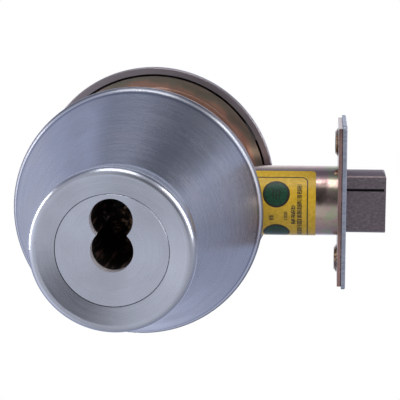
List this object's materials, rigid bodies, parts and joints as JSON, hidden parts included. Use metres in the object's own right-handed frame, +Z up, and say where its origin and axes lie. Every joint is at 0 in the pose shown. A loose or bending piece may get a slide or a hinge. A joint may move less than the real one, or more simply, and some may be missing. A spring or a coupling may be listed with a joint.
{
  "type": "deadbolt door lock",
  "caption": "Tubular deadbolt lock with a free-spinning cone collar round an empty core cavity, a latch tube with faceplate and sliding bolt, and an inside thumbturn.",
  "frame": {"origin": "centre of the faceplate's outer face (the door-edge plane), on the bolt's axis", "axes": "+X is the way the bolt is thrown, out of the door's edge; +Y points to the thumbturn side (into the room); +Z is up, towards the upper lobe of the core cavity"},
  "size_m": [0.1276, 0.1342, 0.0882],
  "materials": {
    "satin_chrome": "satin chrome plate, brushed in circles",
    "hardened_steel": "dark hardened steel, ground",
    "bolt_steel": "dull grey-brown sintered steel",
    "zinc_dichromate": "zinc plate with yellow dichromate, iridescent",
    "zinc_steel": "bright zinc plated steel",
    "spring_steel": "blue-grey spring steel",
    "brass": "machined brass, dulled",
    "nylon": "moulded natural nylon",
    "label_yellow": "printed vinyl label"
  },
  "bodies": {
    "lock_case": {"cylinder_housing": "satin_chrome", "exterior_mount_plate": "zinc_dichromate", "mounting_posts": "zinc_steel", "housing_screws": "zinc_steel", "collar_spring_washer": "spring_steel", "interior_mount_plate": "zinc_dichromate", "interior_rose": "satin_chrome", "rose_catch_springs": "spring_steel", "thumbturn_bearing": "nylon", "thumbturn_spring_washer": "spring_steel", "mounting_screws": "zinc_steel", "latch_tube": "zinc_dichromate", "case_plate_exterior": "zinc_dichromate", "case_plate_interior": "zinc_dichromate", "case_rivets": "zinc_steel", "detent_spring": "spring_steel", "backing_plate": "zinc_dichromate", "faceplate": "satin_chrome", "label": "label_yellow"},
    "collar": {"exterior_collar": "satin_chrome", "collar_armour_ring": "hardened_steel"},
    "driver": {"throw_member": "brass", "tailpiece": "zinc_steel", "driver_clip": "spring_steel"},
    "hub": {"hub_fork": "zinc_steel"},
    "bolt": {"bolt": "bolt_steel", "bolt_link": "zinc_steel", "link_pin": "zinc_steel", "bolt_pin": "zinc_steel"},
    "roller": {"saw_roller": "hardened_steel"},
    "thumbturn": {"thumbturn": "satin_chrome", "thumbturn_spindle": "zinc_steel", "thumbturn_clip": "spring_steel"}
  },
  "joints": [
    {"name": "thumbturn_turn", "type": "hinge", "parent": "lock_case", "child": "thumbturn", "pos_m": [-0.06985, 0, 0], "axis": [0, -1, 0], "range_deg": [-53.2, 53.2]},
    {"name": "hub_turn", "type": "hinge", "parent": "lock_case", "child": "hub", "pos_m": [-0.06985, 0, 0], "axis": [0, -1, 0], "range_deg": [-53.2, 53.2]},
    {"name": "driver_turn", "type": "hinge", "parent": "lock_case", "child": "driver", "pos_m": [-0.06985, 0, 0], "axis": [0, -1, 0], "range_deg": [-53.2, 53.2]},
    {"name": "bolt_throw", "type": "slide", "parent": "lock_case", "child": "bolt", "axis": [1, 0, 0], "range_m": [-0.0127, 0.0127]},
    {"name": "collar_spin", "type": "hinge", "parent": "lock_case", "child": "collar", "pos_m": [-0.06985, 0, 0], "axis": [0, 1, 0], "continuous": true},
    {"name": "roller_spin", "type": "hinge", "parent": "bolt", "child": "roller", "pos_m": [-0.006, 0, 0], "axis": [0, 0, 1], "continuous": true}
  ],
  "couplings": [
    {"joint": "hub_turn", "follows": "thumbturn_turn", "ratio": 1},
    {"joint": "driver_turn", "follows": "thumbturn_turn", "ratio": 1},
    {"joint": "bolt_throw", "follows": "thumbturn_turn", "m_per_rad": 0.013678}
  ]
}
